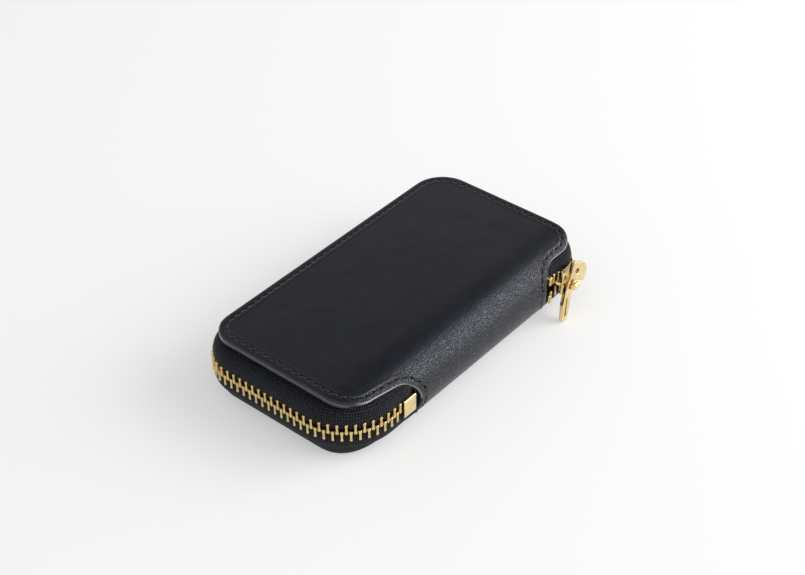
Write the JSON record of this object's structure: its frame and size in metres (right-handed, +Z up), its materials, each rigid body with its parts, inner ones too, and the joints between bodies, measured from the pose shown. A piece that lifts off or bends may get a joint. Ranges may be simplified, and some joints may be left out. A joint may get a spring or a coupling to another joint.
{
  "type": "key case",
  "caption": "Zip-round leather key case: stiff covers joined by a rolled spine strap, a toothed zip with slider and pull tab, and turning key hooks inside.",
  "frame": {"origin": "Centre of the cover rectangle on the table face of the bottom cover.", "axes": "+X along the length, toward the end where the slider parks; -Y toward the rolled spine; +Z up, through the covers."},
  "size_m": [0.1137, 0.0678, 0.022],
  "materials": {
    "outer_leather": "smooth black-grey pressed-grain leather, burnished edges",
    "lining_leather": "matt black leather lining",
    "zip_tape": "black woven zip tape",
    "brass": "polished pale gold brass"
  },
  "bodies": {
    "bottom_shell": {"bottom_cover": "outer_leather", "bottom_lining": "lining_leather", "lower_tape": "zip_tape", "lower_teeth": "brass", "lower_end_clip": "brass", "key_plate": "brass", "key_rivet_1": "brass", "key_rivet_2": "brass"},
    "spine": {"spine_strap": "outer_leather", "spine_lining": "lining_leather", "bottom_stop": "brass"},
    "top_shell": {"top_cover": "outer_leather", "top_lining": "lining_leather", "upper_tape": "zip_tape", "upper_teeth": "brass", "upper_end_clip": "brass", "card_pocket": "lining_leather"},
    "slider": {"slider_body": "brass", "slider_crown": "brass"},
    "pull": {"pull_tab": "brass"},
    "hook_1": {"key_hook_1": "brass"},
    "hook_2": {"key_hook_2": "brass"},
    "hook_3": {"key_hook_3": "brass"},
    "hook_4": {"key_hook_4": "brass"}
  },
  "joints": [
    {"name": "spine_fold", "type": "hinge", "parent": "bottom_shell", "child": "spine", "pos_m": [0, -0.02848, 0.00322], "axis": [1, 0, 0], "range_deg": [0, 90]},
    {"name": "cover_fold", "type": "hinge", "parent": "spine", "child": "top_shell", "pos_m": [0, -0.02848, 0.01878], "axis": [1, 0, 0], "range_deg": [0, 90]},
    {"name": "slider_travel", "type": "hinge", "parent": "spine", "child": "slider", "pos_m": [0.0433, -0.0178, 0.011], "axis": [0, 0, 1], "range_deg": [0, 74], "deforming": ["upper_tape", "lower_tape", "upper_teeth", "lower_teeth"]},
    {"name": "pull_swing", "type": "hinge", "parent": "slider", "child": "pull", "pos_m": [0.04311, -0.03444, 0.011], "axis": [0.1392, -0.9903, 0], "range_deg": [0, 55]},
    {"name": "hook_1_turn", "type": "hinge", "parent": "bottom_shell", "child": "hook_1", "pos_m": [-0.038, -0.0135, 0.0076], "axis": [1, 0, 0], "continuous": true},
    {"name": "hook_2_turn", "type": "hinge", "parent": "bottom_shell", "child": "hook_2", "pos_m": [-0.038, -0.0045, 0.0076], "axis": [1, 0, 0], "continuous": true},
    {"name": "hook_3_turn", "type": "hinge", "parent": "bottom_shell", "child": "hook_3", "pos_m": [-0.038, 0.0045, 0.0076], "axis": [1, 0, 0], "continuous": true},
    {"name": "hook_4_turn", "type": "hinge", "parent": "bottom_shell", "child": "hook_4", "pos_m": [-0.038, 0.0135, 0.0076], "axis": [1, 0, 0], "continuous": true}
  ],
  "couplings": [
    {"joint": "cover_fold", "follows": "spine_fold", "ratio": 1}
  ]
}
